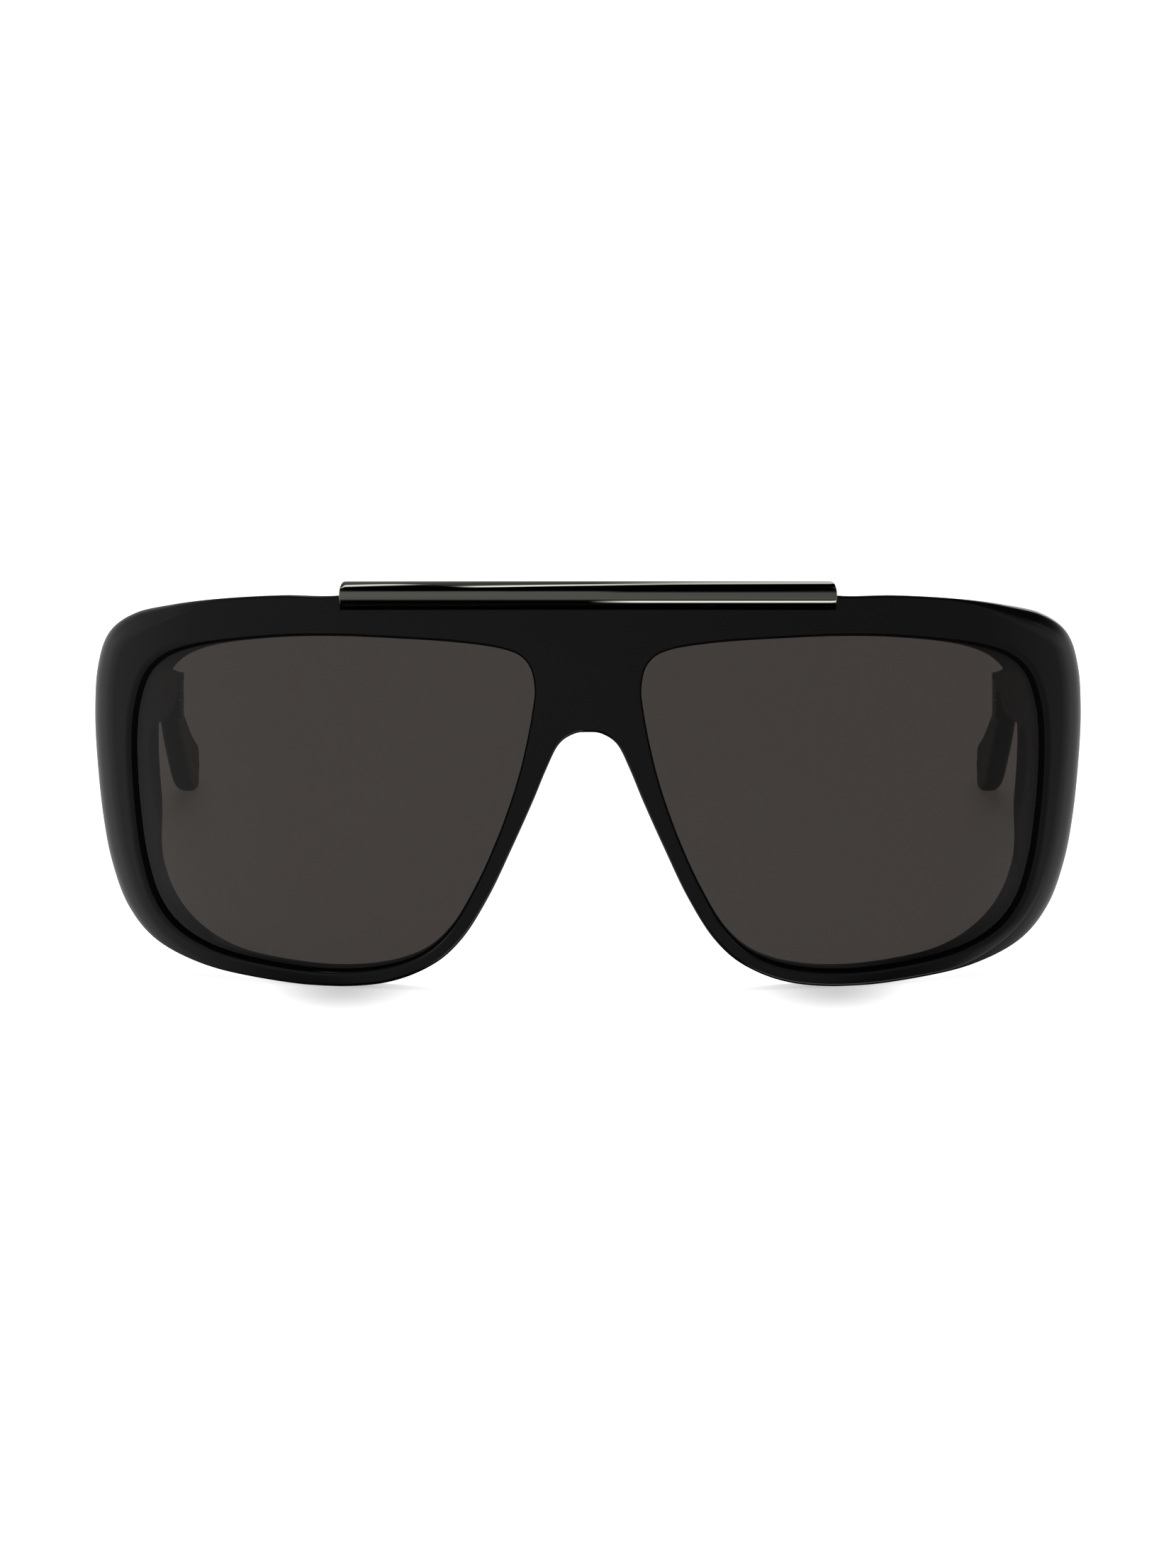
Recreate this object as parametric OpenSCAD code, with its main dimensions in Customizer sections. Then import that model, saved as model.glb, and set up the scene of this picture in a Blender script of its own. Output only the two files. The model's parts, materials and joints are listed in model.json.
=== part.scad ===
// Navigator sunglasses, standing open on a flat surface on their rims and temple tips.
// The front is drawn upright, with its lowest edge near z = 0, +X to the wearer's left and
// +Y to the back, and is leaned back onto the temple tips at the end.

/* [Lenses] */
// Width of one lens opening
lens_w = 60.4; // [54:0.1:64]
// Height of one lens opening
lens_h = 50.5; // [44:0.5:54]
// Thickness of a lens
lens_t = 2; // [1.6:0.1:2.4]
// How far a lens lies behind the front face
lens_set_back = 1.1; // [0.8:0.1:1.3]
// Depth of the groove that holds a lens
lens_groove = 0.6; // [0.4:0.1:0.8]

/* [Front] */
// Narrowest gap between the two lens openings
bridge_w = 16.1; // [14:0.1:20]
// Height of the nose arch
arch_z = 38.2; // [34:0.1:41]
// Thickness of the front where it carries a lens
front_t = 4.4; // [4.2:0.1:5]
// Thickness of the front at its outer sides
side_t = 9.6; // [8:0.1:10.5]
// Height of the front above a lens opening
brow_h = 6; // [5.4:0.1:7]
// Height of the rim under a lens opening
rim_h = 2.3; // [2:0.1:3]
// Rounding along the edges of the front
edge_r = 0.5; // [0.3:0.1:0.6]
// Rounding along the outer sides of the front
side_r = 4.6; // [2:0.1:4.8]
// How far back the endpieces reach
end_y = 26; // [25.5:0.1:28]

/* [Face curve] */
// Half the width of the dome that the front follows
dome_w = 95; // [92:0.5:105]
// Depth of the dome
dome_d = 41.2; // [36:0.1:44]
// Half the height of the dome
dome_h = 88; // [80:1:120]
// Height of the dome's crown
dome_z = 48; // [44:0.5:52]

/* [Brow bar] */
// Length of the bar
bar_l = 74.2; // [60:0.1:78]
// Diameter of the bar
bar_d = 4.2; // [3.6:0.1:4.4]
// Radius of the curve that the bar follows
bar_curve_r = 209.8; // [190:0.1:240]
// Bevel of the bar's end edges
bar_edge_r = 0.6; // [0.3:0.05:0.7]
// How far the front rises behind the bar
cradle_rise = 1.6; // [1.4:0.1:1.8]
// Distance of each bar screw from its end of the bar
bar_screw_in = 9.1; // [7:0.1:12]
// Diameter of a bar screw
bar_screw_d = 1.4; // [1.2:0.1:1.6]
// Diameter of a bar screw's head
bar_screw_head_d = 2.2; // [2:0.1:2.4]

/* [Hinges] */
// Distance of the hinge pin inside the outer edge of the lens opening
hinge_in = 5.85; // [5.6:0.05:6]
// Height of the hinge's middle above the bottom of the lens opening
hinge_up = 41.6; // [40:0.1:43]
// Outer radius of the hinge's knuckles
knuckle_r = 1.6; // [1.5:0.05:1.7]
// Height of one knuckle
knuckle_h = 1.4; // [1.2:0.05:1.42]
// Diameter of the pin screw
pin_d = 1.4; // [1.2:0.1:1.6]
// Thickness of the leaves
leaf_t = 1; // [0.8:0.1:1.1]
// Height of the leaves
leaf_h = 5.4; // [5:0.1:5.8]
// Diameter of the rivet pins on the leaves
rivet_d = 1.1; // [0.9:0.1:1.2]

/* [Temples] */
// Length of a temple from the hinge pin to its tip
temple_l = 135; // [130:1:150]
// Thickness of a temple at the front
temple_t = 3.7; // [3.5:0.1:4]
// Diameter of the core wire
core_d = 1.2; // [1:0.1:1.3]
// How far the tips bend inwards
temple_bow = 3.7; // [3:0.1:5.5]

/* [Nose pads] */
// How far a nose pad stands behind the rim
pad_h = 4.2; // [3:0.1:5]

/* [Clearances] */
// Gap all round a lens in its groove
lens_gap = 0.05; // [0.03:0.01:0.1]
// Gap around the bar in its cradle
bar_gap = 0.12; // [0.1:0.01:0.2]
// Gap around the leaves, screws and wires let into the acetate
seat_gap = 0.05; // [0.03:0.01:0.08]
// Gap around the hinge pin
pin_gap = 0.05; // [0.03:0.01:0.08]
// Gap between neighbouring knuckles
knuckle_gap = 0.05; // [0.04:0.01:0.1]
// Gap between an endpiece and the end of its temple
butt_gap = 0.2; // [0.15:0.05:0.3]
// Gap between the pads and the rims that they are bonded to
bond_gap = 0.03; // [0.02:0.01:0.05]

/* [Hidden] */
$fn = 48;
acetate = "#151515";
steel = "#9a9a9c";

// The outlines are drawn from the front, in millimetres, for one half of the front.
// Each station is a point of the lens opening, from its box's lower nose-side corner, and
// the step from there across the rim to its outer edge. The stations run from the middle of
// the brow over the outer side and the bottom to the nose arch.
drawn_lens = [60.4, 50.5];
stations = [
    [[3.5, 48], undef], [[7, 48.85], [-6, undef]], [[13.4, 49.6], [-2, undef]],
    [[21.4, 50.1], [0, undef]], [[29.45, 50.45], [0, 6]], [[37.5, 50.4], [0.4, 6.15]],
    [[45.4, 49.8], [1.5, 6.3]], [[51.4, 48.85], [3.05, 6.4]], [[55.7, 47.3], [4.8, 6.55]],
    [[58.4, 44.7], [6, 6.2]], [[59.8, 40.7], [6.25, 5.1]], [[60.35, 36.2], [6.1, 3]],
    [[60.3, 30.2], [5.85, 2]], [[59.8, 23.7], [5.5, 0]], [[58.85, 17.1], [5.1, -0.6]],
    [[56.95, 10.9], [4.5, -1.15]], [[53.5, 6.4], [3.6, -1.85]], [[48, 3.2], [1.9, -2.3]],
    [[40.5, 1.2], [0.7, -2.35]], [[31.5, 0.05], [0, -2.35]], [[23.5, 0.45], [-1, -2.25]],
    [[17.2, 2.4], [-1.6, -1.65]], [[12.8, 6.15], [-1.9, -1.35]], [[9.3, 11.9], [-2.4, -0.8]],
    [[6.2, 18.5], [-2.85, 0]], [[3.85, 24.7], [-3.6, 0.7]], [[2.3, 29.7], [-4, 0.4]],
    [[1.3, 33.9], [-4.9, 0.05]], [[0.75, 36.6], [-6.6, -1]], [[0.4, 38.7], undef],
    [[0, 41.9], undef], [[0.45, 45], undef], [[1.65, 46.9], undef]
];
bar_station = 4;
arch_station = 29;
last = len(stations);
steps = 2;
// Stations beside the hinge, where the sections stand closer together
end_stations = [8, 12];

// Places that several pieces share
bar_end_room = 0.1;
lens_x = bridge_w / 2;
hinge_x = lens_x + lens_w - hinge_in;
hinge_y = end_y + butt_gap + knuckle_r;
hinge_z = rim_h + hinge_up;
bar_z = rim_h + lens_h + brow_h;
cradle_z = bar_z + cradle_rise;
cradle_r = bar_d / 2 + bar_gap;
bar_end = bar_l / 2 + bar_gap + bar_end_room;
bar_screw_x = bar_l / 2 - bar_screw_in;
temple_in = hinge_x + knuckle_r + butt_gap;
knuckles = 5;
hinge_h = knuckles * knuckle_h;
core_x = temple_in + temple_t / 2;

// Smooth step from 0 at a to 1 at b
function ease(a, b, v) = let (f = min(1, max(0, (v - a) / (b - a)))) f * f * (3 - 2 * f);
function smooth(a, b, c, d, f) =
    0.5 * (2 * b + (c - a) * f + (2 * a - 5 * b + 4 * c - d) * f * f + (3 * b - a - 3 * c + d) * f * f * f);
function slope(a, b, c, d, f) =
    0.5 * ((c - a) + 2 * (2 * a - 5 * b + 4 * c - d) * f + 3 * (3 * b - a - 3 * c + d) * f * f);
function unit(v) = v / norm(v);

// The dome: its depth at a point of the front view, and its inward direction there
function dome_root(p) = sqrt(1 - pow(p.x / dome_w, 2) - pow((p.y - dome_z) / dome_h, 2));
function dome_y(p) = dome_d * (1 - dome_root(p));
function inward(p) =
    let (k = dome_d / dome_root(p))
    unit([-k * p.x / pow(dome_w, 2), 1, -k * (p.y - dome_z) / pow(dome_h, 2)]);
// The point d behind the front face at p
function behind(p, d) = [p.x, dome_y(p), p.y] + inward(p) * d;

// The two outlines of a rim
function opening(i) =
    let (p = stations[(i + last) % last][0])
    [lens_x + p.x * lens_w / drawn_lens.x, rim_h + p.y * lens_h / drawn_lens.y];
function rim_point(i) =
    i < 0 ? [-rim_point(-i).x, rim_point(-i).y]
    : i > arch_station ? let (m = rim_point(2 * arch_station - i)) [-m.x, m.y]
    : i == 0 ? [0, cradle_z]
    : i == arch_station ? [0, arch_z]
    : i < bar_station ? [opening(i).x + stations[i][1].x, cradle_z]
    : i == bar_station ? [bar_end, bar_z]
    : opening(i) + [stations[i][1].x, stations[i][1].y * edge_share(i)];
// Stations over and under the lens follow the height of the rim there
drawn_brow_h = 6;
drawn_rim_h = 2.3;
function edge_share(i) = i < 10 ? brow_h / drawn_brow_h : i > 16 && i < 22 ? rim_h / drawn_rim_h : 1;
function on_opening(t) =
    let (i = floor(t))
    smooth(opening(i - 1), opening(i), opening(i + 1), opening(i + 2), t - i);
function opening_out(t) =
    let (i = floor(t), s = slope(opening(i - 1), opening(i), opening(i + 1), opening(i + 2), t - i))
    unit([-s.y, s.x]);
function on_rim(t) =
    let (i = floor(t))
    smooth(rim_point(i - 1), rim_point(i), rim_point(i + 1), rim_point(i + 2), t - i);
function rim_out(t) =
    let (i = floor(t), s = slope(rim_point(i - 1), rim_point(i), rim_point(i + 1), rim_point(i + 2), t - i))
    unit([-s.y, s.x]);

// Where the front grows thicker: outwards from the lens's nose side, first under and then
// beside the hinge, and upwards from the bottom of the lens
low_side = [42, 58];
low_side_part = 0.45;
high_side_from = 44;
high_side_past = 1;
side_rise = [14.5, 25.5];
// Where the endpiece begins and is full, and half its height with its fade, inside and outside
end_from = 50;
end_full_in = 3;
end_flare = [-1, 5];
end_half_inside = [3, 4.2];
end_half_outside = [4, 8];
// Where the outer side's rounding begins and is full
round_side = [46, 65];

// Thickness of the front behind a point, with the flat back of the endpiece at the hinge
function side_share(p) =
    let (low = low_side_part * ease(lens_x + low_side[0], lens_x + low_side[1], p.x),
         high = ease(lens_x + high_side_from, lens_x + lens_w + high_side_past, p.x))
    low + (high - low) * ease(rim_h + side_rise[0], rim_h + side_rise[1], p.y);
function end_share(p) =
    let (f = ease(lens_x + lens_w + end_flare[0], lens_x + lens_w + end_flare[1], p.x),
         half = end_half_inside + (end_half_outside - end_half_inside) * f)
    ease(lens_x + end_from, lens_x + lens_w - end_full_in, p.x)
        * (1 - ease(half[0], half[1], abs(p.y - hinge_z)));
function thickness(p) =
    let (plain = front_t + (side_t - front_t) * side_share(p),
         flat = (end_y - dome_y(p)) / inward(p).y)
    plain + end_share(p) * (flat - plain);
function outer_r(p) = edge_r + (side_r - edge_r) * ease(lens_x + round_side[0], lens_x + round_side[1], p.x);

// The rim's rounded edge leans in with the dome, so its base is drawn out by what it would lose
function edge_base(t) =
    let (p = on_rim(t), o = rim_out(t), r = outer_r(p), s = -inward(p) * [o.x, 0, o.y])
    p + o * r * (1 + s - sqrt(1 + s * s));

// One section through a rim: lens groove, front face, outer edge and back face
front_turns = 5;
back_turns = 2;
middle_step = 0.1;
inner_bevel = 0.3;
function groove_front() = lens_set_back - lens_gap;
function groove_back() = lens_set_back + lens_t + lens_gap;
function in_bar(t, side) = t < bar_station || (t == bar_station && side < 0);
function inner_profile(t) =
    let (p = on_opening(t), o = opening_out(t), q = p + o * lens_groove, b = thickness(p + o * edge_r))
    [
        behind(p, b - edge_r), behind(p, groove_back()), behind(q, groove_back()),
        behind(q, groove_front()), behind(p, groove_front()), behind(p, edge_r),
        behind(p + o * edge_r * inner_bevel, edge_r * inner_bevel)
    ];
function edge_front(t, side) =
    t > arch_station
    ? let (f = (t - arch_station) / (last - arch_station),
           z = arch_z + edge_r + f * (bar_z - cradle_r - arch_z - edge_r))
      [for (n = [0 : front_turns]) [[0, z], n * middle_step]]
    : in_bar(t, side)
    ? let (p = on_rim(t), top = asin(min(1, (p.y - bar_z) / cradle_r)))
      [for (n = [0 : front_turns])
          let (a = -90 + n * (90 + top) / front_turns)
          [[p.x, bar_z + cradle_r * sin(a)], cradle_r * cos(a)]]
    : let (p = edge_base(t), o = rim_out(t), r = outer_r(on_rim(t)))
      [for (n = [0 : front_turns])
          let (a = n * 90 / front_turns)
          [p - o * r * (1 - sin(a)), r * (1 - cos(a))]];
function edge_back(t) =
    t > arch_station
    ? let (f = (t - arch_station) / (last - arch_station),
           p = [0, arch_z + edge_r + f * (cradle_z - arch_z - 2 * edge_r)])
      [for (n = [0 : back_turns]) [p, thickness(p) - (back_turns - n) * middle_step]]
    : let (p = t < bar_station ? on_rim(t) : edge_base(t), o = rim_out(t))
      [for (n = [0 : back_turns])
          let (a = n * 90 / back_turns, q = p - o * edge_r * (1 - cos(a)))
          [q, thickness(q) - edge_r * (1 - sin(a))]];
function between(a, b, shares) = [for (f = shares) a + (b - a) * f];
function section(t, side) =
    let (
        p = on_opening(t), o = opening_out(t), start = p + o * edge_r,
        front = edge_front(t, side), back = edge_back(t),
        front_face = between(start, front[0][0], [0, 0.33, 0.67]),
        back_face = between(back[back_turns][0], start, [0.33, 0.67, 1])
    )
    concat(
        inner_profile(t),
        [for (q = front_face) behind(q, 0)],
        [for (e = front) behind(e[0], e[1])],
        [for (e = back) behind(e[0], e[1])],
        [for (q = back_face) behind(q, thickness(q))]
    );
edge_first = 10;
edge_last = edge_first + front_turns + 1 + back_turns;

// The sections of one half, with two at the bar's end where the cradle stops
half_turns = concat(
    [for (i = [0 : bar_station * steps]) [i / steps, -1]],
    [for (i = [bar_station * steps : last * steps - 1]) each [
        [i / steps, 1],
        if (i >= end_stations[0] * steps && i < end_stations[1] * steps) [(i + 0.5) / steps, 1]
    ]]
);
module front_shell() {
    rings = [for (h = half_turns) section(h[0], h[1])];
    n = len(rings);
    m = len(rings[0]);
    middle = [for (h = half_turns) h[0] == 0 || h[0] >= arch_station];
    function is_edge(j) = j >= edge_first && j <= edge_last;
    function at(half, i, j) =
        let (k = (i % n) * m + j % m)
        half == 0 || (middle[i % n] && is_edge(j % m)) ? k : n * m + k;
    right = [for (r = rings, p = r) [middle_x(p), p.y, p.z]];
    left = [for (p = right) [-p.x, p.y, p.z]];
    function middle_x(p) = abs(p.x) < 0.000001 ? 0 : p.x;
    quads = [
        for (i = [0 : n - 1], j = [0 : m - 1])
            if (!(middle[i] && middle[(i + 1) % n] && is_edge(j) && is_edge((j + 1) % m))) [i, j]
    ];
    polyhedron(
        points = concat(right, left),
        faces = concat(
            [for (q = quads) each [
                [at(0, q.x, q.y), at(0, q.x, q.y + 1), at(0, q.x + 1, q.y + 1)],
                [at(0, q.x, q.y), at(0, q.x + 1, q.y + 1), at(0, q.x + 1, q.y)]
            ]],
            [for (q = quads) each [
                [at(1, q.x, q.y), at(1, q.x + 1, q.y + 1), at(1, q.x, q.y + 1)],
                [at(1, q.x, q.y), at(1, q.x + 1, q.y), at(1, q.x + 1, q.y + 1)]
            ]]
        )
    );
}

// A temple's side view: distance behind the hinge pin, lower edge and upper edge, as drawn
drawn_temple_l = 135;
side_view = [
    [-1.6, 40.05, 47.75], [10, 40.05, 47.75], [22, 40.05, 47.75], [30, 40.35, 47.2],
    [38, 41.1, 46.4], [46, 42.05, 45.65], [54, 42.55, 45.4], [64, 42.55, 45.4],
    [74, 42.55, 45.5], [84, 42.45, 45.3], [90, 41.9, 44.75], [96, 40.9, 44.05],
    [102, 38.7, 43.1], [108, 35.95, 42], [115, 32.8, 40.25], [121, 30.2, 38.7],
    [127, 29.3, 37.5], [131.5, 29.9, 36.6], [134.2, 31.4, 35.4], [135, 32.9, 34.1]
];
drawn_hinge_z = 43.9;
// The first stretch holds the leaf and keeps its length
butt_l = 10;
function temple_y(s) =
    s < butt_l ? s : butt_l + (s - butt_l) * (temple_l - butt_l) / (drawn_temple_l - butt_l);
function temple_low(s) = lookup(s, [for (v = side_view) [v[0], v[1]]]) + hinge_z - drawn_hinge_z;

// Everything is drawn for the upright front and then leaned back until the tips touch down
foot_station = 19;
foot_rise = 0.1;
tip_foot = 127;
rim_low = [dome_y(rim_point(foot_station)) + edge_r, rim_point(foot_station).y + foot_rise];
tip_low = [hinge_y + temple_y(tip_foot), temple_low(tip_foot)];
stand_tilt = atan((tip_low.y - rim_low.y) / (tip_low.x - rim_low.x));
foot_front = min([for (i = [1 : arch_station]) leaned([dome_y(rim_point(i)), rim_point(i).y]).x]);
foot_back = leaned([hinge_y + temple_l, temple_low(temple_l)]).x;
function leaned(p) =
    [p.x * cos(stand_tilt) + p.y * sin(stand_tilt), p.y * cos(stand_tilt) - p.x * sin(stand_tilt)];
module standing() {
    translate([0, -(foot_front + foot_back) / 2, -leaned(rim_low).y]) rotate([-stand_tilt, 0, 0])
        children();
}
module mirrored(right) {
    if (right) mirror([1, 0, 0]) children();
    else children();
}

// The bar: a curved rod with a small bevel round each end
module bar_solid() {
    half_angle = asin(bar_l / 2 / bar_curve_r);
    translate([0, dome_y([0, bar_z]) + bar_curve_r, bar_z]) difference() {
        rotate([0, 0, -90 - half_angle]) rotate_extrude(angle = 2 * half_angle, $fn = 360)
            translate([bar_curve_r, 0]) circle(d = bar_d, $fn = 48);
        for (side = [-1, 1]) rotate([0, 0, side * half_angle]) translate([0, -bar_curve_r, 0])
            rotate([0, side * 90, 0]) bevel_ring(bar_d, bar_edge_r);
    }
}
module bevel_ring(d, e) {
    difference() {
        translate([0, 0, -2 * e]) cylinder(h = 3 * e, d = d + 2);
        translate([0, 0, -2.2 * e]) cylinder(h = 3.4 * e, d1 = d + 2.4 * e, d2 = d - 4.4 * e);
    }
}

// A bar screw lies square to the bar, its head let into the back of the front
bar_screw_head_t = 0.7;
bar_screw_grip = 2.4;
bar_screw_drop = 0.2;
bar_screw_sunk = 0.15;
slot_w = 0.3;
slot_depth = 0.3;
module at_bar_screw(side) {
    translate([0, dome_y([0, bar_z]) + bar_curve_r, bar_z - bar_screw_drop])
        rotate([0, 0, side * asin(bar_screw_x / bar_curve_r)]) translate([0, -bar_curve_r, 0])
            rotate([-90, 0, 0]) children();
}
bar_screw_back = front_t - bar_screw_sunk;
module bar_screw_hole(gap) {
    translate([0, 0, bar_d / 2 - bar_screw_grip - gap])
        cylinder(h = bar_screw_back - bar_d / 2 + bar_screw_grip + gap, d = bar_screw_d + 2 * gap);
    translate([0, 0, bar_screw_back - bar_screw_head_t - gap])
        cylinder(h = bar_screw_head_t + gap + (gap > 0 ? 1 : 0), d = bar_screw_head_d + 2 * gap);
}
module bar_screw(side) {
    color(steel) standing() at_bar_screw(side) difference() {
        bar_screw_hole(0);
        translate([-bar_screw_head_d, -slot_w / 2, bar_screw_back - slot_depth])
            cube([2 * bar_screw_head_d, slot_w, 1]);
    }
}
module brow_bar() {
    color("#4c4c47") standing() difference() {
        bar_solid();
        for (side = [-1, 1]) at_bar_screw(side) bar_screw_hole(seat_gap);
    }
}

// The lens: the opening's outline, grown into the groove, on two domes lens_t apart
lens_rings = [1, 0.72, 0.4];
lens_middle_up = 0.53;
lens_middle = [lens_x + lens_w / 2, rim_h + lens_h * lens_middle_up];
module lens(right) {
    turns = [for (i = [0 : last * steps - 1]) i / steps];
    n = len(turns);
    edge = [for (t = turns) on_opening(t) + opening_out(t) * (lens_groove - lens_gap)];
    function sheet(d) = [
        for (f = lens_rings, p = edge) behind(lens_middle + (p - lens_middle) * f, d)
    ];
    points = concat(
        sheet(lens_set_back), sheet(lens_set_back + lens_t),
        [behind(lens_middle, lens_set_back), behind(lens_middle, lens_set_back + lens_t)]
    );
    bands = len(lens_rings);
    back = bands * n;
    faces = concat(
        [for (b = [0 : bands - 2], i = [0 : n - 1]) each [
            [b * n + i, (b + 1) * n + i, (b + 1) * n + (i + 1) % n],
            [b * n + i, (b + 1) * n + (i + 1) % n, b * n + (i + 1) % n],
            [back + b * n + i, back + (b + 1) * n + (i + 1) % n, back + (b + 1) * n + i],
            [back + b * n + i, back + b * n + (i + 1) % n, back + (b + 1) * n + (i + 1) % n]
        ]],
        [for (i = [0 : n - 1]) each [
            [(bands - 1) * n + i, 2 * back, (bands - 1) * n + (i + 1) % n],
            [back + (bands - 1) * n + i, back + (bands - 1) * n + (i + 1) % n, 2 * back + 1],
            [i, (i + 1) % n, back + (i + 1) % n],
            [i, back + (i + 1) % n, back + i]
        ]]
    );
    color("#423e3a") standing() mirrored(right) polyhedron(points = points, faces = faces);
}

// A nose pad: a low crowned form bonded to the back of the rim beside the nose
pad_from = 22.2;
pad_to = 26.6;
pad_rows = 10;
pad_columns = 5;
pad_edge_h = 0.25;
// The share of the rim's width in front of a pad's edge and under it, its crown, and its lean outwards
pad_start = 0.18;
pad_width = 0.64;
pad_crown = [0.7, 0.6];
pad_lean = 0.3;
module nose_pad(right) {
    function pad_base(i, j) =
        let (t = pad_from + (pad_to - pad_from) * i / pad_rows, a = on_opening(t), b = on_rim(t))
        a + (b - a) * (pad_start + pad_width * j / pad_columns);
    function pad_rise(i, j) =
        pad_edge_h + (pad_h - pad_edge_h)
            * pow(sin(180 * i / pad_rows), pad_crown[0]) * pow(sin(180 * j / pad_columns), pad_crown[1]);
    function pad_point(i, j, top) =
        let (p = pad_base(i, j), h = top ? pad_rise(i, j) : 0)
        behind(p, thickness(p) + bond_gap + h) + [pad_lean * h, 0, 0];
    n = pad_columns + 1;
    size = (pad_rows + 1) * n;
    function at(i, j, top) = (top ? size : 0) + i * n + j;
    rim = concat(
        [for (j = [0 : pad_columns - 1]) [0, j, 0, j + 1]],
        [for (i = [0 : pad_rows - 1]) [i, pad_columns, i + 1, pad_columns]],
        [for (j = [pad_columns : -1 : 1]) [pad_rows, j, pad_rows, j - 1]],
        [for (i = [pad_rows : -1 : 1]) [i, 0, i - 1, 0]]
    );
    points = [
        for (top = [false, true], i = [0 : pad_rows], j = [0 : pad_columns]) pad_point(i, j, top)
    ];
    faces = concat(
        [for (i = [0 : pad_rows - 1], j = [0 : pad_columns - 1]) each [
            [at(i, j, false), at(i + 1, j, false), at(i + 1, j + 1, false)],
            [at(i, j, false), at(i + 1, j + 1, false), at(i, j + 1, false)],
            [at(i, j, true), at(i + 1, j + 1, true), at(i + 1, j, true)],
            [at(i, j, true), at(i, j + 1, true), at(i + 1, j + 1, true)]
        ]],
        [for (e = rim) each [
            [at(e[0], e[1], false), at(e[2], e[3], false), at(e[2], e[3], true)],
            [at(e[0], e[1], false), at(e[2], e[3], true), at(e[0], e[1], true)]
        ]]
    );
    color(acetate) standing() mirrored(right) polyhedron(points = points, faces = faces);
}

// Hinges: knuckles 0, 2 and 4 belong to the front's leaf, 1 and 3 to the temple's
plate_y = end_y - leaf_t + seat_gap;
plate_w = 4.2;
plate_step = 0.3;
plate_in = hinge_x + plate_step;
front_rivet_in = 2.9;
front_rivet_x = plate_in + front_rivet_in;
rivet_rise = 1.6;
rivet_l = 3.6;
temple_plate_l = 10;
temple_plate_lead = 0.1;
temple_plate_y = hinge_y - temple_plate_lead;
temple_rivet_l = 1.4;
temple_rivets = [3.6, 7.6];
module knuckle(i) {
    translate([hinge_x, hinge_y, hinge_z - hinge_h / 2 + i * knuckle_h + knuckle_gap / 2])
        cylinder(h = knuckle_h - knuckle_gap, r = knuckle_r);
}
module knuckle_neck(i, from, size) {
    translate([from.x, from.y, hinge_z - hinge_h / 2 + i * knuckle_h + knuckle_gap / 2])
        cube([size.x, size.y, knuckle_h - knuckle_gap]);
}
module pin_bore() {
    translate([hinge_x, hinge_y, hinge_z - hinge_h]) cylinder(h = 2 * hinge_h, d = pin_d + 2 * pin_gap);
}
module front_leaf_body(gap) {
    translate([plate_in - gap, plate_y - gap, hinge_z - leaf_h / 2 - gap])
        cube([plate_w + 2 * gap, leaf_t + 2 * gap, leaf_h + 2 * gap]);
    for (up = [-1, 1]) translate([front_rivet_x, end_y - leaf_t / 2, hinge_z + up * rivet_rise])
        rotate([90, 0, 0]) cylinder(h = leaf_t / 2 + rivet_l + gap, d = rivet_d + 2 * gap);
}
module hinge_front_leaf(right) {
    color(steel) standing() mirrored(right) difference() {
        union() {
            front_leaf_body(0);
            for (i = [0 : 2 : knuckles - 1]) {
                knuckle(i);
                knuckle_neck(i, [hinge_x, end_y + seat_gap / 2],
                    [knuckle_r, butt_gap + knuckle_r - seat_gap / 2]);
            }
        }
        pin_bore();
        translate([hinge_x, hinge_y, hinge_z + hinge_h / 2 - pin_head_h])
            cylinder(h = knuckle_h, d = pin_head_d + 2 * pin_gap);
    }
}
pin_head_h = 0.6;
pin_head_d = 2.2;
module hinge_screw(right) {
    color(steel) standing() mirrored(right) translate([hinge_x, hinge_y, hinge_z]) difference() {
        union() {
            translate([0, 0, -hinge_h / 2]) cylinder(h = hinge_h, d = pin_d);
            translate([0, 0, hinge_h / 2 - pin_head_h + pin_gap])
                cylinder(h = pin_head_h - pin_gap, d = pin_head_d);
        }
        translate([-pin_head_d, -slot_w / 2, hinge_h / 2 - slot_depth]) cube([2 * pin_head_d, slot_w, 1]);
    }
}
module temple_leaf_body(gap) {
    translate([temple_in - (gap > 0 ? 1 : 0), temple_plate_y - gap, hinge_z - leaf_h / 2 - gap])
        cube([leaf_t + gap + (gap > 0 ? 1 : 0), temple_plate_l + 2 * gap, leaf_h + 2 * gap]);
    for (y = temple_rivets) translate([temple_in + leaf_t / 2, temple_plate_y + y, hinge_z])
        rotate([0, 90, 0]) cylinder(h = leaf_t / 2 + temple_rivet_l + gap, d = rivet_d + 2 * gap);
}
module hinge_temple_leaf(right) {
    color(steel) standing() mirrored(right) difference() {
        union() {
            temple_leaf_body(0);
            for (i = [1, 3]) {
                knuckle(i);
                knuckle_neck(i, [hinge_x, hinge_y], [temple_in - hinge_x + leaf_t / 2, knuckle_r]);
            }
        }
        pin_bore();
    }
}

ring_steps = 2;
function side_at(t) =
    let (i = min(floor(t), len(side_view) - 2), e = len(side_view) - 1)
    smooth(side_view[max(i - 1, 0)], side_view[i], side_view[i + 1], side_view[min(i + 2, e)], t - i);
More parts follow.
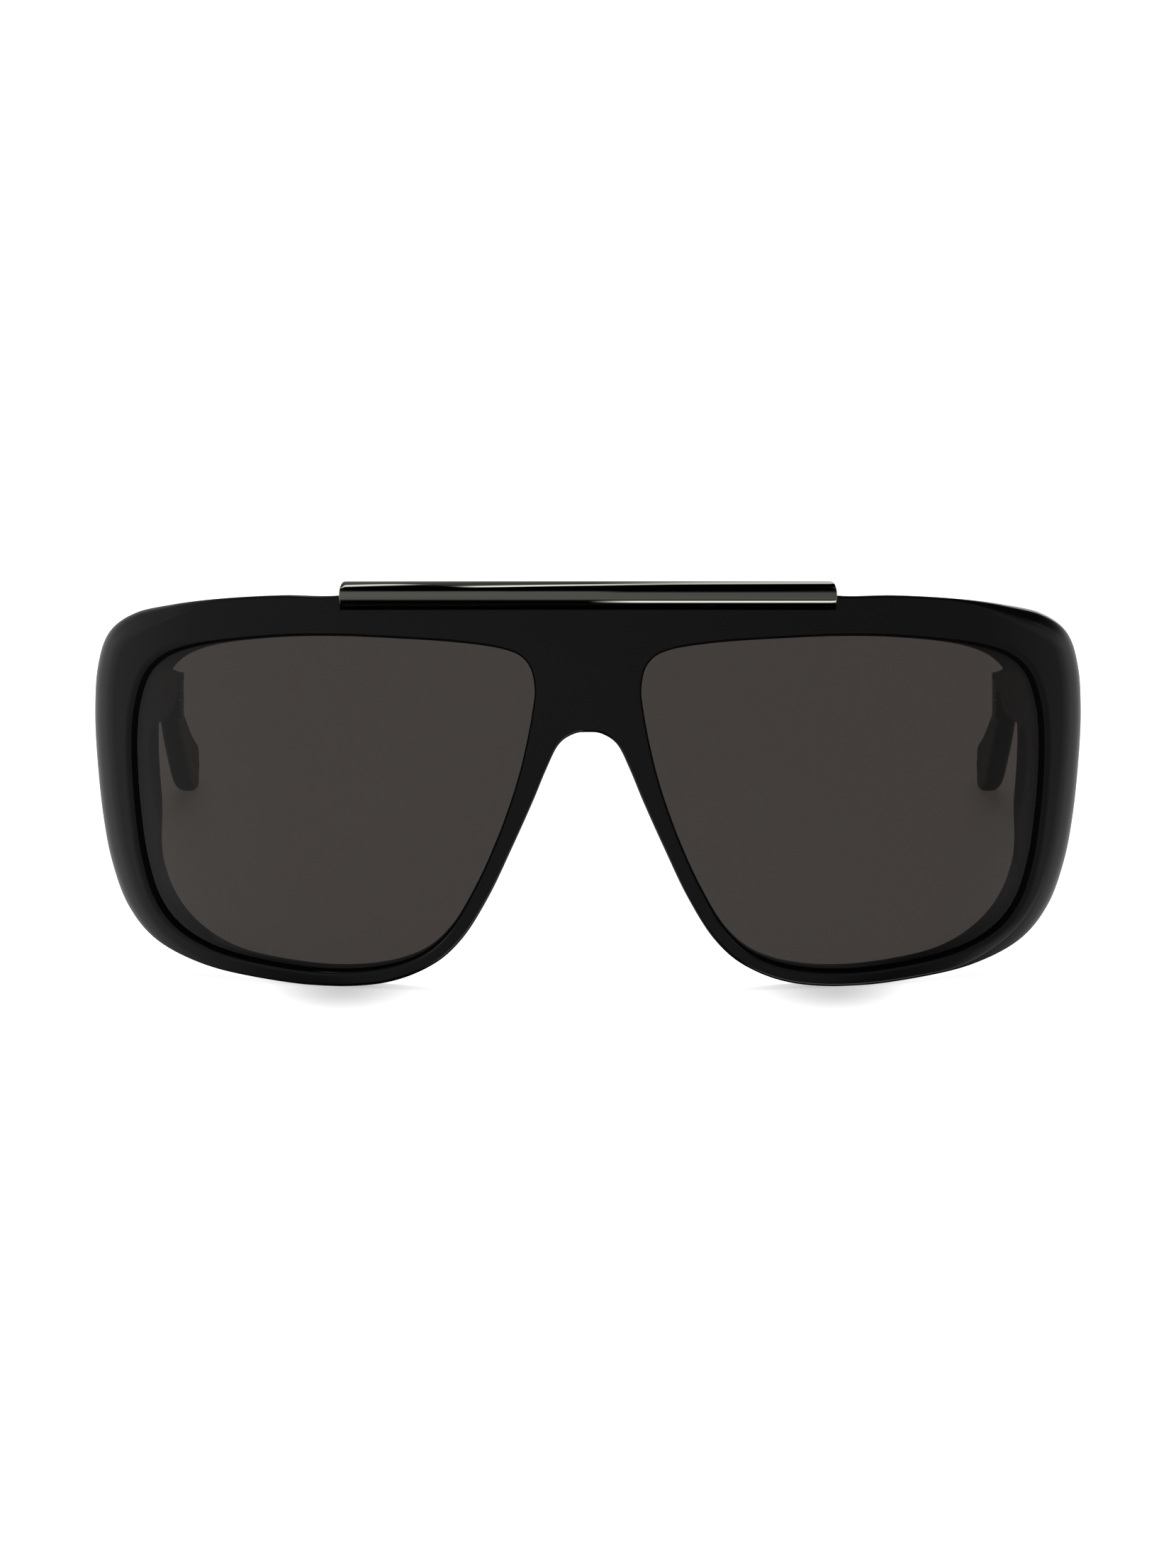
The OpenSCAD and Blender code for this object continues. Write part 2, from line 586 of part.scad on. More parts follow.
// Where the bend begins, and the thinner waist, the thicker paddle and the tip, behind the hinge pin
bow_from = 70;
waist = [15, 55];
waist_thinner = 0.7;
paddle = [85, 110];
paddle_thicker = 0.3;
tip = [128, drawn_temple_l];
tip_thinner = 1.4;
temple_round = 1.3;
temple_flat = 0.05;
function bow(s) = temple_bow * pow(max(0, s - bow_from) / (drawn_temple_l - bow_from), 2);
function temple_thick(s) =
    temple_t - waist_thinner * ease(waist[0], waist[1], s) + paddle_thicker * ease(paddle[0], paddle[1], s)
        - tip_thinner * ease(tip[0], tip[1], s);
corner_turns = 3;
function temple_ring(v) =
    let (
        s = v[0], h = v[2] - v[1], w = temple_thick(s),
        rc = min(min(w, h) / 2 - temple_flat, temple_round),
        x = temple_in + temple_t / 2 - bow(s), z = (v[1] + v[2]) / 2 + hinge_z - drawn_hinge_z
    )
    [for (c = [0 : 3], q = [0 : corner_turns])
        let (a = 90 * c + 90 * q / corner_turns,
             cx = (c == 0 || c == 3 ? 1 : -1) * (w / 2 - rc), cz = (c < 2 ? 1 : -1) * (h / 2 - rc))
        [x + cx + rc * cos(a), s < 0 ? end_y + butt_gap : hinge_y + temple_y(s), z + cz + rc * sin(a)]];
module temple_solid() {
    tube([for (i = [0 : (len(side_view) - 1) * ring_steps]) temple_ring(side_at(i / ring_steps))]);
}
// The core wire's route: distance behind the hinge pin and height, as drawn
core_start = 0.8;
core_places = [
    [temple_plate_y + temple_plate_l + core_start - hinge_y, 43.9], [50, 43.9], [82, 43.8], [95, 42.7],
    [106, 39.8], [115, 36.8], [124, 33.9]
];
core_sides = 10;
core_steps = 3;
function core_at(t) =
    let (i = min(floor(t), len(core_places) - 2), e = len(core_places) - 1,
         c = smooth(core_places[max(i - 1, 0)], core_places[i], core_places[i + 1],
             core_places[min(i + 2, e)], t - i))
    [core_x - bow(c[0]), hinge_y + temple_y(c[0]), c[1] + hinge_z - drawn_hinge_z];
module core_wire(d, spare) {
    n = (len(core_places) - 1) * core_steps;
    rings = [
        for (i = [0 : n])
            let (p = core_at(i / core_steps), shift = i == 0 ? -spare : i == n ? spare : 0)
            [for (j = [0 : core_sides - 1])
                let (a = 360 * j / core_sides)
                p + [d / 2 * cos(a), shift, d / 2 * sin(a)]]
    ];
    tube(rings);
}
// A closed tube through rings of as many points each
module tube(rings) {
    n = len(rings);
    m = len(rings[0]);
    faces = concat(
        [for (i = [0 : n - 2], j = [0 : m - 1]) each [
            [i * m + j, (i + 1) * m + (j + 1) % m, (i + 1) * m + j],
            [i * m + j, i * m + (j + 1) % m, (i + 1) * m + (j + 1) % m]
        ]],
        [[for (j = [m - 1 : -1 : 0]) j], [for (j = [0 : m - 1]) (n - 1) * m + j]]
    );
    polyhedron(points = [for (r = rings, p = r) p], faces = faces);
}
module temple(right) {
    color(acetate) standing() mirrored(right) difference() {
        temple_solid();
        temple_leaf_body(seat_gap);
        core_wire(core_d + 2 * seat_gap, seat_gap);
    }
}
module temple_core(right) {
    color(steel) standing() mirrored(right) core_wire(core_d, 0);
}

module front_frame() {
    color(acetate) standing() difference() {
        front_shell();
        for (side = [-1, 1]) at_bar_screw(side) bar_screw_hole(seat_gap);
        for (right = [false, true]) mirrored(right) front_leaf_body(seat_gap);
    }
}

front_frame();
brow_bar();
bar_screw(1);  // bar_screw_left
bar_screw(-1);  // bar_screw_right
lens(false);  // lens_left
lens(true);  // lens_right
nose_pad(false);  // nose_pad_left
nose_pad(true);  // nose_pad_right
hinge_front_leaf(false);  // hinge_front_leaf_left
hinge_front_leaf(true);  // hinge_front_leaf_right
hinge_screw(false);  // hinge_screw_left
hinge_screw(true);  // hinge_screw_right
hinge_temple_leaf(false);  // hinge_temple_leaf_left
hinge_temple_leaf(true);  // hinge_temple_leaf_right
temple(false);  // temple_left
temple(true);  // temple_right
temple_core(false);  // temple_core_left
temple_core(true);  // temple_core_right
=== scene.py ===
import bpy
import bmesh
import json
import math
import numpy as np
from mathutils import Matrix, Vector


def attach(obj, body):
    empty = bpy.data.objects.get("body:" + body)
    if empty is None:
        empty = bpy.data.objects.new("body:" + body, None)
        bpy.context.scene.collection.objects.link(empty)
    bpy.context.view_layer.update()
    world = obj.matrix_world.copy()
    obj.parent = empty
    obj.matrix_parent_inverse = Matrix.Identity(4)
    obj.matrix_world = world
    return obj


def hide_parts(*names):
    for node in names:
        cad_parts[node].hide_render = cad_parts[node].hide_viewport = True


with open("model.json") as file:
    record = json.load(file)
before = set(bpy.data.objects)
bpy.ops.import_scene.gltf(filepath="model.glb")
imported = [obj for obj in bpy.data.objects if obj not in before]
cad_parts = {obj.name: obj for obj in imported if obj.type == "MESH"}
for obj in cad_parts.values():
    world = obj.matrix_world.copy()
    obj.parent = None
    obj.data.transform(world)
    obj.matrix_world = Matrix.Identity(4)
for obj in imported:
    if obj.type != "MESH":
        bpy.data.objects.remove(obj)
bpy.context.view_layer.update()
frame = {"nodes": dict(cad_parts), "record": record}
print("frame loaded:", len(frame["nodes"]), "nodes")

# everything is drawn upright in millimetres, as in the part's source, and then leaned back like the part
front = {
    "lensWidth": 60.4, "lensHeight": 50.5, "bridge": 16.1, "archHeight": 38.2,
    "thickness": 4.4, "sideThickness": 9.6, "browHeight": 6.0, "rimHeight": 2.3, "endDepth": 26.0,
    "edge": 0.5, "innerEdge": 0.5, "innerEdgeFrom": 18, "sideRound": 4.6, "roundFrom": 46, "roundTo": 65,
    "perStation": 8, "innerTurns": 4, "frontTurns": 12, "backTurns": 6, "acrossFront": 12, "acrossBack": 12,
}
dome = {"halfWidth": 95.0, "depth": 41.2, "halfHeight": 88.0, "crown": 48.0}
lens = {
    "setBack": 1.1, "thick": 2.0, "reach": 0.55, "middle": 0.53, "hub": 0.35, "rings": 26, "perStation": 6,
}
groove = {"depth": 0.6, "gap": 0.05, "faces": 4}
bar = {
    "length": 74.2, "diameter": 4.2, "curve": 209.8, "edge": 0.12, "endSlant": 13.7, "slantFrom": 30,
    "gap": 0.12, "endGap": 0.1, "cradleRise": 1.6, "around": 72, "along": 60, "endTurns": 6,
}
hingeSpot = {"x": 62.6, "y": 27.8, "z": 43.9}
bothSides = (("left", 1), ("right", -1))  # the wearer's left is at positive x

# how the front grows thicker outwards, counted from the lens opening's nose side, outer side or foot: less in
# its lower part, and up to a plain block at each hinge, which grows taller and softer outwards
growth = {
    "lowShare": 0.45, "lowFrom": 42, "lowTo": 58, "highFrom": 44, "highPast": 1, "upFrom": 14.5, "upTo": 25.5,
    "blockFrom": 50, "blockShort": 3, "blockHalf": 3, "blockFade": 1.2,
    "widenShort": 1, "widenPast": 5, "widenHalf": 1, "widenFade": 2.8,
}

# the opening's front edge: how far it is softened, to which tilt, and how far its wall is drafted, and what
# is added at its outer side and at its foot
openingEdge = {
    "soft": 0.12, "tilt": 20, "draft": 0.3, "turns": 6, "sideSoft": 0.85, "sideDraft": 0.2,
    "sideFrom": 44, "sideTo": 56, "lowSoft": 0.35, "lowTilt": 32, "lowFrom": 2, "lowTo": 10,
}

lensX = front["bridge"] / 2
lensOut = lensX + front["lensWidth"]
barZ = front["rimHeight"] + front["lensHeight"] + front["browHeight"]
cradleZ = barZ + bar["cradleRise"]
cradleRadius = bar["diameter"] / 2 + bar["gap"]

# points of the lens opening from its box's lower nose-side corner, and the step across the rim to its outer
# edge: only sideways beside the bar, and none over the bridge, where the halves meet
stations = [
    ((3.5, 48), None), ((7, 48.85), -6), ((13.4, 49.6), -2), ((21.4, 50.1), 0),
    ((29.45, 50.45), (0, 6)), ((37.5, 50.4), (0.4, 6.15)), ((45.4, 49.8), (1.5, 6.3)),
    ((51.4, 48.85), (3.05, 6.4)), ((55.7, 47.3), (4.8, 6.55)), ((58.4, 44.7), (6, 6.2)),
    ((59.8, 40.7), (6.25, 5.1)), ((60.35, 36.2), (6.1, 3)), ((60.3, 30.2), (5.85, 2)),
    ((59.8, 23.7), (5.5, 0)), ((58.85, 17.1), (5.1, -0.6)), ((56.95, 10.9), (4.5, -1.15)),
    ((53.5, 6.4), (3.6, -1.85)), ((48, 3.2), (1.9, -2.3)), ((40.5, 1.2), (0.7, -2.35)),
    ((31.5, 0.05), (0, -2.35)), ((23.5, 0.45), (-1, -2.25)), ((17.2, 2.4), (-1.6, -1.65)),
    ((12.8, 6.15), (-1.9, -1.35)), ((9.3, 11.9), (-2.4, -0.8)), ((6.2, 18.5), (-2.85, 0)),
    ((3.85, 24.7), (-3.6, 0.7)), ((2.3, 29.7), (-4, 0.4)), ((1.3, 33.9), (-4.9, 0.05)),
    ((0.75, 36.6), (-6.6, -1)), ((0.4, 38.7), None), ((0, 41.9), None), ((0.45, 45), None),
    ((1.65, 46.9), None),
]
barStation = 4
archStation = 29
stationCount = len(stations)


def ease(a, b, v):
    f = np.clip((np.asarray(v, float) - a) / (b - a), 0, 1)
    return f * f * (3 - 2 * f)


def onDome(p):
    # across and up from the dome's crown, and how much of its depth is left there
    x, z = p[..., 0], p[..., 1] - dome["crown"]
    return x, z, np.sqrt(1 - (x / dome["halfWidth"]) ** 2 - (z / dome["halfHeight"]) ** 2)


def inwardAt(p):
    x, z, left = onDome(p)
    k = dome["depth"] / left
    n = np.stack([-k * x / dome["halfWidth"] ** 2, np.ones_like(x), -k * z / dome["halfHeight"] ** 2], -1)
    return n / np.linalg.norm(n, axis=-1, keepdims=True)


def domeDepth(p):
    return dome["depth"] * (1 - onDome(p)[2])


def behind(p, d):
    p = np.asarray(p, float)
    face = np.stack([p[..., 0], domeDepth(p), p[..., 1]], -1)
    return face + inwardAt(p) * np.asarray(d, float)[..., None]


openingPoints = np.array([(lensX + s[0][0], front["rimHeight"] + s[0][1]) for s in stations])


def rimPoint(i):
    if i < 0:
        return rimPoint(-i) * (-1, 1)
    if i > archStation:
        return rimPoint(2 * archStation - i) * (-1, 1)
    if i == 0:
        return np.array([0, cradleZ])
    if i == archStation:
        return np.array([0, front["archHeight"]])
    if i < barStation:
        return np.array([openingPoints[i][0] + stations[i][1], cradleZ])
    if i == barStation:
        return np.array([bar["length"] / 2 + bar["gap"] + bar["endGap"], barZ])
    return openingPoints[i] + stations[i][1]


rimPoints = {i: rimPoint(i) for i in range(-2, archStation + 4)}


def spline(get, t):
    # a point of the smooth curve through the given ones, and the direction square to it
    i = math.floor(t)
    f = t - i
    a, b, c, d = get(i - 1), get(i), get(i + 1), get(i + 2)
    bend, twist = 2 * a - 5 * b + 4 * c - d, 3 * b - a - 3 * c + d
    point = 0.5 * (2 * b + (c - a) * f + bend * f ** 2 + twist * f ** 3)
    s = (c - a) + 2 * bend * f + 3 * twist * f * f
    return point, np.array([-s[1], s[0]]) / np.linalg.norm(s)


def onOpening(t):
    return spline(lambda i: openingPoints[i % stationCount], t)


def onRim(t):
    return spline(lambda i: rimPoints[i], t)


def thickness(p):
    p = np.asarray(p, float)
    x, z = p[..., 0], p[..., 1]
    low = growth["lowShare"] * ease(lensX + growth["lowFrom"], lensX + growth["lowTo"], x)
    high = ease(lensX + growth["highFrom"], lensOut + growth["highPast"], x)
    up = ease(front["rimHeight"] + growth["upFrom"], front["rimHeight"] + growth["upTo"], z)
    plain = front["thickness"] + (front["sideThickness"] - front["thickness"]) * (low + (high - low) * up)
    widen = ease(lensOut - growth["widenShort"], lensOut + growth["widenPast"], x)
    half = growth["blockHalf"] + growth["widenHalf"] * widen
    fade = growth["blockFade"] + growth["widenFade"] * widen
    inBlock = 1 - ease(0, 1, (np.abs(z - hingeSpot["z"]) - half) / fade)
    block = ease(lensX + growth["blockFrom"], lensOut - growth["blockShort"], x) * inBlock
    flat = (front["endDepth"] - domeDepth(p)) / inwardAt(p)[..., 1]
    return plain + block * (flat - plain)


def edgeRound(p):
    out = ease(lensX + front["roundFrom"], lensX + front["roundTo"], p[0])
    return front["edge"] + (front["sideRound"] - front["edge"]) * out


def openingSoft(p):
    # how far the opening's front edge is softened here, to which tilt, and how far its wall is drafted
    foot = front["rimHeight"]
    side = float(ease(lensX + openingEdge["sideFrom"], lensX + openingEdge["sideTo"], p[0]))
    low = float(1 - ease(foot + openingEdge["lowFrom"], foot + openingEdge["lowTo"], p[1])) * (1 - side)
    soft = openingEdge["soft"] + openingEdge["sideSoft"] * side + openingEdge["lowSoft"] * low
    tilt = math.radians(openingEdge["tilt"] + openingEdge["lowTilt"] * low)
    return soft, tilt, openingEdge["draft"] + openingEdge["sideDraft"] * side


def edgeBase(t):
    # where the outer edge's rounding stands on the dome, which way is out, and its radius
    p, o = onRim(t)
    n = inwardAt(p)
    s = -(n[0] * o[0] + n[2] * o[1])
    return p + o * edgeRound(p) * (1 + s - math.sqrt(1 + s * s)), o, edgeRound(p)


def turns(a, b, count):
    return [math.radians(a + (b - a) * n / count) for n in range(count + 1)]


def spread(count):
    # shares from 0 to 1, closer together at both ends
    return [(1 - math.cos(math.pi * k / count)) / 2 for k in range(count + 1)]


def frontSection(t, side):
    # one closed loop round a rim: groove, front face, outer edge and back face, and which of its points are
    # the outer edge's first and last
    p, o = onOpening(t)
    inner = front["innerEdge"]
    back = float(thickness(p + o * front["edge"]))
    points = [(p + o * inner * (1 - math.sin(a)), back - inner * (1 - math.cos(a)))
              for a in turns(front["innerEdgeFrom"], 90, front["innerTurns"])]
    deep = p + o * groove["depth"]
    near, far = lens["setBack"] - groove["gap"], lens["setBack"] + lens["thick"] + groove["gap"]
    points += [(p, far), (deep, far), (deep, near), (p, near)]
    soft, tilt, draft = openingSoft(p)
    radius = soft / math.sin(tilt)
    points += [(p + o * (draft + soft - radius * math.sin(a)), radius * (1 - math.cos(a)))
               for a in np.linspace(tilt, tilt / openingEdge["turns"], openingEdge["turns"])]
    start = p + o * (draft + soft)

    if t > archStation:  # over the bridge, where both halves meet in the middle
        f = (t - archStation) / (stationCount - archStation)
        low, high = front["archHeight"] + front["edge"], barZ - cradleRadius
        frontEdge = [((0, low + f * (high - low)), 0)] * (front["frontTurns"] + 1)
        rear = np.array([0, low + f * (cradleZ - front["edge"] - low)])
        backEdge = [(rear, float(thickness(rear)))] * (front["backTurns"] + 1)
    elif t < barStation or (t == barStation and side < 0):  # along the cradle that the bar lies in
        edge, out = onRim(t)
        top = math.degrees(math.asin(min(1, (edge[1] - barZ) / cradleRadius)))
        frontEdge = [((edge[0], barZ + cradleRadius * math.sin(a)), cradleRadius * math.cos(a))
                     for a in turns(-90, top, front["frontTurns"])]
    else:
        edge, out, r = edgeBase(t)
        frontEdge = [(edge - out * r * (1 - math.sin(a)), r * (1 - math.cos(a)))
                     for a in turns(0, 90, front["frontTurns"])]
    if t <= archStation:
        edge, out = onRim(t) if t < barStation else edgeBase(t)[:2]
        backEdge = []
        for a in turns(0, 90, front["backTurns"]):
            at = edge - out * front["edge"] * (1 - math.cos(a))
            backEdge.append((at, float(thickness(at)) - front["edge"] * (1 - math.sin(a))))

    wide = np.array(frontEdge[0][0]) - start
    points += [(start + wide * f, 0) for f in spread(front["acrossFront"])[:-1]]
    first = len(points)
    points += frontEdge + backEdge
    last = len(points) - 1
    outer, rim = backEdge[-1][0], p + o * inner
    for f in spread(front["acrossBack"])[1:]:
        at = outer + (rim - outer) * f
        points.append((at, float(thickness(at))))
    return behind(np.array([v[0] for v in points]), np.array([v[1] for v in points])), first, last


# the joint's axis gives the lean, and its place gives where the upright drawing's origin stands
joint = frame["record"]["behaviour"]["joints"][0]
lean = math.atan2(joint["axis"][1], joint["axis"][2])
leanTurn = np.array([[1, 0, 0], [0, math.cos(lean), math.sin(lean)], [0, -math.sin(lean), math.cos(lean)]])
leanShift = np.array(joint["pos_m"]) * 1000 - leanTurn @ np.array([hingeSpot[k] for k in ("x", "y", "z")])


def toWorld(points):
    return (np.asarray(points, float) @ leanTurn.T + leanShift) / 1000


sharpFrom = 32  # degrees between two faces from which their edge stays sharp


def addPiece(name, points, faces, body, material, node, sharp=sharpFrom, milledFaces=()):
    mesh = bpy.data.meshes.new(name)
    mesh.from_pydata(toWorld(points).tolist(), [], faces)
    piece = bpy.data.objects.new(name, mesh)
    bpy.context.collection.objects.link(piece)
    work = bmesh.new()
    work.from_mesh(mesh)
    bmesh.ops.delete(work, geom=[v for v in work.verts if not v.link_faces], context="VERTS")
    bmesh.ops.recalc_face_normals(work, faces=work.faces)
    work.to_mesh(mesh)
    work.free()
    mesh.materials.append(material)
    if milledFaces:
        mesh.materials.append(milled)
        for k in milledFaces:
            mesh.polygons[k].material_index = 1
    smoothPiece(piece, sharp)
    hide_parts(node)
    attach(piece, body)
    return piece


def smoothPiece(piece, sharp=sharpFrom):
    piece.data.polygons.foreach_set("use_smooth", [True] * len(piece.data.polygons))
    piece.data.set_sharp_from_angle(angle=math.radians(sharp))


def carve(piece, cutters):
    # sinks the seats for screws and hinge leaves into a piece
    for cutter in cutters:
        cut = piece.modifiers.new("carve", "BOOLEAN")
        cut.object = cutter
        cut.solver = "EXACT"
    carved = bpy.data.meshes.new_from_object(piece.evaluated_get(bpy.context.evaluated_depsgraph_get()))
    piece.modifiers.clear()
    piece.data = carved
    smoothPiece(piece)
    for cutter in cutters:
        bpy.data.objects.remove(cutter)


def addCutter(points, faces):
    mesh = bpy.data.meshes.new("cutter")
    mesh.from_pydata(toWorld(points).tolist(), [], faces)
    cutter = bpy.data.objects.new("cutter", mesh)
    bpy.context.collection.objects.link(cutter)
    return cutter


def blockCutter(xs, ys, zs):
    corners = [(x, y, z) for x in sorted(xs) for y in ys for z in zs]
    sides = [(0, 1, 3, 2), (4, 6, 7, 5), (0, 4, 5, 1), (2, 3, 7, 6), (0, 2, 6, 4), (1, 5, 7, 3)]
    return addCutter(corners, sides)


def tubeFaces(rings, around):
    faces = []
    for i in range(rings - 1):
        low, high = i * around, (i + 1) * around
        faces += [(low + j, high + j, high + (j + 1) % around, low + (j + 1) % around) for j in range(around)]
    return faces + [tuple(range(around)), tuple((rings - 1) * around + j for j in reversed(range(around)))]


# materials
def toLinear(hexColour):
    # the sRGB curve, and full opacity
    shares = [int(hexColour[i:i + 2], 16) / 255 for i in (1, 3, 5)]
    return [c / 12.92 if c <= 0.04045 else ((c + 0.055) / 1.055) ** 2.4 for c in shares] + [1]


def addNode(tree, kind, settings={}, links={}, **attributes):
    node = tree.nodes.new(kind)
    for key, value in attributes.items():
        setattr(node, key, value)
    for key, value in settings.items():
        node.inputs[key].default_value = value
    for key, source in links.items():
        tree.links.new(source, node.inputs[key])
    return node


def startMaterial(name):
    material = bpy.data.materials.new(name)
    material.use_nodes = True
    material.node_tree.nodes.clear()
    tree = material.node_tree
    place = addNode(tree, "ShaderNodeTexCoord").outputs["Object"]
    return material, tree, place


def endMaterial(tree, shader):
    addNode(tree, "ShaderNodeOutputMaterial", links={"Surface": shader.outputs[0]})


def addNoise(tree, place, look, name):
    return addNode(tree, "ShaderNodeTexNoise",
                   {"Scale": 1000 / look[name + "Millimetres"], "Detail": look[name + "Detail"]},
                   {"Vector": place}).outputs[0]


def addBump(tree, noise, look, name):
    return addNode(tree, "ShaderNodeBump",
                   {"Strength": look[name + "Strength"], "Distance": look[name + "Metres"]},
                   {"Height": noise}).outputs[0]


def addRoughness(tree, noise, look):
    # spreads the noise's common values from the smoothest to the roughest
    low, high = look["commonNoise"]
    return addNode(tree, "ShaderNodeMapRange",
                   {"From Min": low, "From Max": high,
                    "To Min": look["smoothest"], "To Max": look["roughest"]},
                   {"Value": noise}).outputs[0]


# cellulose acetate sheet, milled, tumbled and hand-buffed: deep black, with a wet gloss and a faint waviness
acetateLook = {
    "colour": "#060606", "ior": 1.48, "smoothest": 0.03, "roughest": 0.07, "commonNoise": (0.3, 0.75),
    "waveMillimetres": 7.0, "waveDetail": 1.0, "waveMetres": 0.000004, "waveStrength": 0.25,
    "scuffMillimetres": 0.9, "scuffDetail": 3.0,
}


def makeBuffedAcetate():
    look = acetateLook
    material, tree, place = startMaterial("buffedBlackAcetate")
    bump = addBump(tree, addNoise(tree, place, look, "wave"), look, "wave")
    rough = addRoughness(tree, addNoise(tree, place, look, "scuff"), look)
    shader = addNode(tree, "ShaderNodeBsdfPrincipled",
                     {"Base Color": toLinear(look["colour"]), "IOR": look["ior"]},
                     {"Roughness": rough, "Normal": bump})
    endMaterial(tree, shader)
    return material


# the same acetate where the cutter left it, in the lens groove and on the wall before it: matt black, with
# fine milling marks
milledLook = {
    "colour": "#040404", "ior": 1.48, "specular": 0.05, "smoothest": 0.5, "roughest": 0.7,
    "commonNoise": (0.3, 0.7),
    "markMillimetres": 0.25, "markDetail": 2.0, "markMetres": 0.00001, "markStrength": 0.4,
}


def makeMilledAcetate():
    look = milledLook
    material, tree, place = startMaterial("milledBlackAcetate")
    mark = addNoise(tree, place, look, "mark")
    shader = addNode(tree, "ShaderNodeBsdfPrincipled",
                     {"Base Color": toLinear(look["colour"]), "IOR": look["ior"],
                      "Specular IOR Level": look["specular"]},
                     {"Roughness": addRoughness(tree, mark, look),
                      "Normal": addBump(tree, mark, look, "mark")})
    endMaterial(tree, shader)
    return material


# nylon sun lens, cast and dyed through: clear to look through, grey-brown, with a hard polished coat
lensLook = {
    "colour": "#322e2b", "ior": 1.52, "smoothest": 0.0, "roughest": 0.012, "commonNoise": (0.3, 0.7),
    "rippleMillimetres": 18.0, "rippleDetail": 0.0,
}


def makeDyedLens():
    look = lensLook
    material, tree, place = startMaterial("dyedNylonLens")
    rough = addRoughness(tree, addNoise(tree, place, look, "ripple"), look)
    shader = addNode(tree, "ShaderNodeBsdfPrincipled",
                     {"Base Color": toLinear(look["colour"]), "IOR": look["ior"], "Transmission Weight": 1.0},
                     {"Roughness": rough})
    endMaterial(tree, shader)
    return material


# brass rod, polished and plated with ruthenium: a dark mirror, slightly olive
barLook = {
    "colour": "#a4a49b", "smoothest": 0.012, "roughest": 0.03, "commonNoise": (0.35, 0.7),
    "hazeMillimetres": 3.0, "hazeDetail": 2.0,
}


def makePlatedRuthenium():
    look = barLook
    material, tree, place = startMaterial("polishedRutheniumPlate")
    rough = addRoughness(tree, addNoise(tree, place, look, "haze"), look)
    shader = addNode(tree, "ShaderNodeBsdfPrincipled",
                     {"Base Color": toLinear(look["colour"]), "Metallic": 1.0}, {"Roughness": rough})
    endMaterial(tree, shader)
    return material


# nickel-plated steel, blanked and brushed along the leaf: soft streaks across the highlight
steelLook = {
    "light": "#b9b9b8", "dark": "#8f8f90", "smoothest": 0.22, "roughest": 0.38, "commonNoise": (0.3, 0.7),
    "streakMillimetres": 0.12, "streakDetail": 2.0, "streakStretch": 0.06,
}


def makeBrushedSteel():
    look = steelLook
    material, tree, place = startMaterial("brushedNickelSteel")
    stretched = addNode(tree, "ShaderNodeMapping", {"Scale": (1, look["streakStretch"], 1)},
                        {"Vector": place})
    streak = addNoise(tree, stretched.outputs[0], look, "streak")
    tone = addNode(tree, "ShaderNodeMix", {"A": toLinear(look["dark"]), "B": toLinear(look["light"])},
                   {"Factor": streak}, data_type="RGBA")
    shader = addNode(tree, "ShaderNodeBsdfPrincipled", {"Metallic": 1.0},
                     {"Base Color": tone.outputs["Result"], "Roughness": addRoughness(tree, streak, look)})
    endMaterial(tree, shader)
    return material


acetate = makeBuffedAcetate()
milled = makeMilledAcetate()
tinted = makeDyedLens()
plated = makePlatedRuthenium()
steel = makeBrushedSteel()
print("materials made")

# the front: both halves from the same sections, joined along the middle
step = front["perStation"]
places = [(i / step, -1) for i in range(barStation * step + 1)]
places += [(i / step, 1) for i in range(barStation * step, stationCount * step)]
sections = [frontSection(t, side) for t, side in places]
edgeFirst, edgeLast = sections[0][1], sections[0][2]
rings = np.array([section[0] for section in sections])
ringCount, around = rings.shape[:2]
leftHalf = rings.reshape(-1, 3)
leftHalf[np.abs(leftHalf[:, 0]) < 1e-6, 0] = 0  # points of the middle lie exactly on it
inMiddle = [t == 0 or t >= archStation for t, side in places]
grooveFirst = front["innerTurns"] + 1


def frontIndex(half, i, j):
    i, j = i % ringCount, j % around
    shared = inMiddle[i] and edgeFirst <= j <= edgeLast
    return i * around + j + (0 if half == 0 or shared else ringCount * around)


frontFaces, grooveFaces = [], []
for i in range(ringCount):
    for j in range(around):
        n = (i + 1) % ringCount
        if inMiddle[i] and inMiddle[n] and edgeFirst <= j < edgeLast:
            continue
        for half in (0, 1):
            face = [frontIndex(half, *corner) for corner in ((i, j), (i, j + 1), (n, j + 1), (n, j))]
            if grooveFirst <= j < grooveFirst + groove["faces"]:
                grooveFaces.append(len(frontFaces))
            frontFaces.append(tuple(face if half == 0 else reversed(face)))
frontPiece = addPiece("wrapped_front", np.concatenate([leftHalf, leftHalf * (-1, 1, 1)]), frontFaces,
                      "front", acetate, "front_frame", milledFaces=grooveFaces)

screwSeat = {
    "x": 28.0, "drop": 0.2, "headDiameter": 2.3, "headDepth": 0.75, "back": 4.25, "past": 2, "around": 40,
}
leafSeat = {"in": 0.3, "width": 4.2, "thick": 1.0, "height": 5.4, "gap": 0.05, "past": 3}


def barPoint(angle, radius, up):
    # a point beside the bar's curve, by its angle from the middle
    middle = float(domeDepth(np.array([0, barZ]))) + bar["curve"]
    return (radius * math.sin(angle), middle - radius * math.cos(angle), barZ + up)


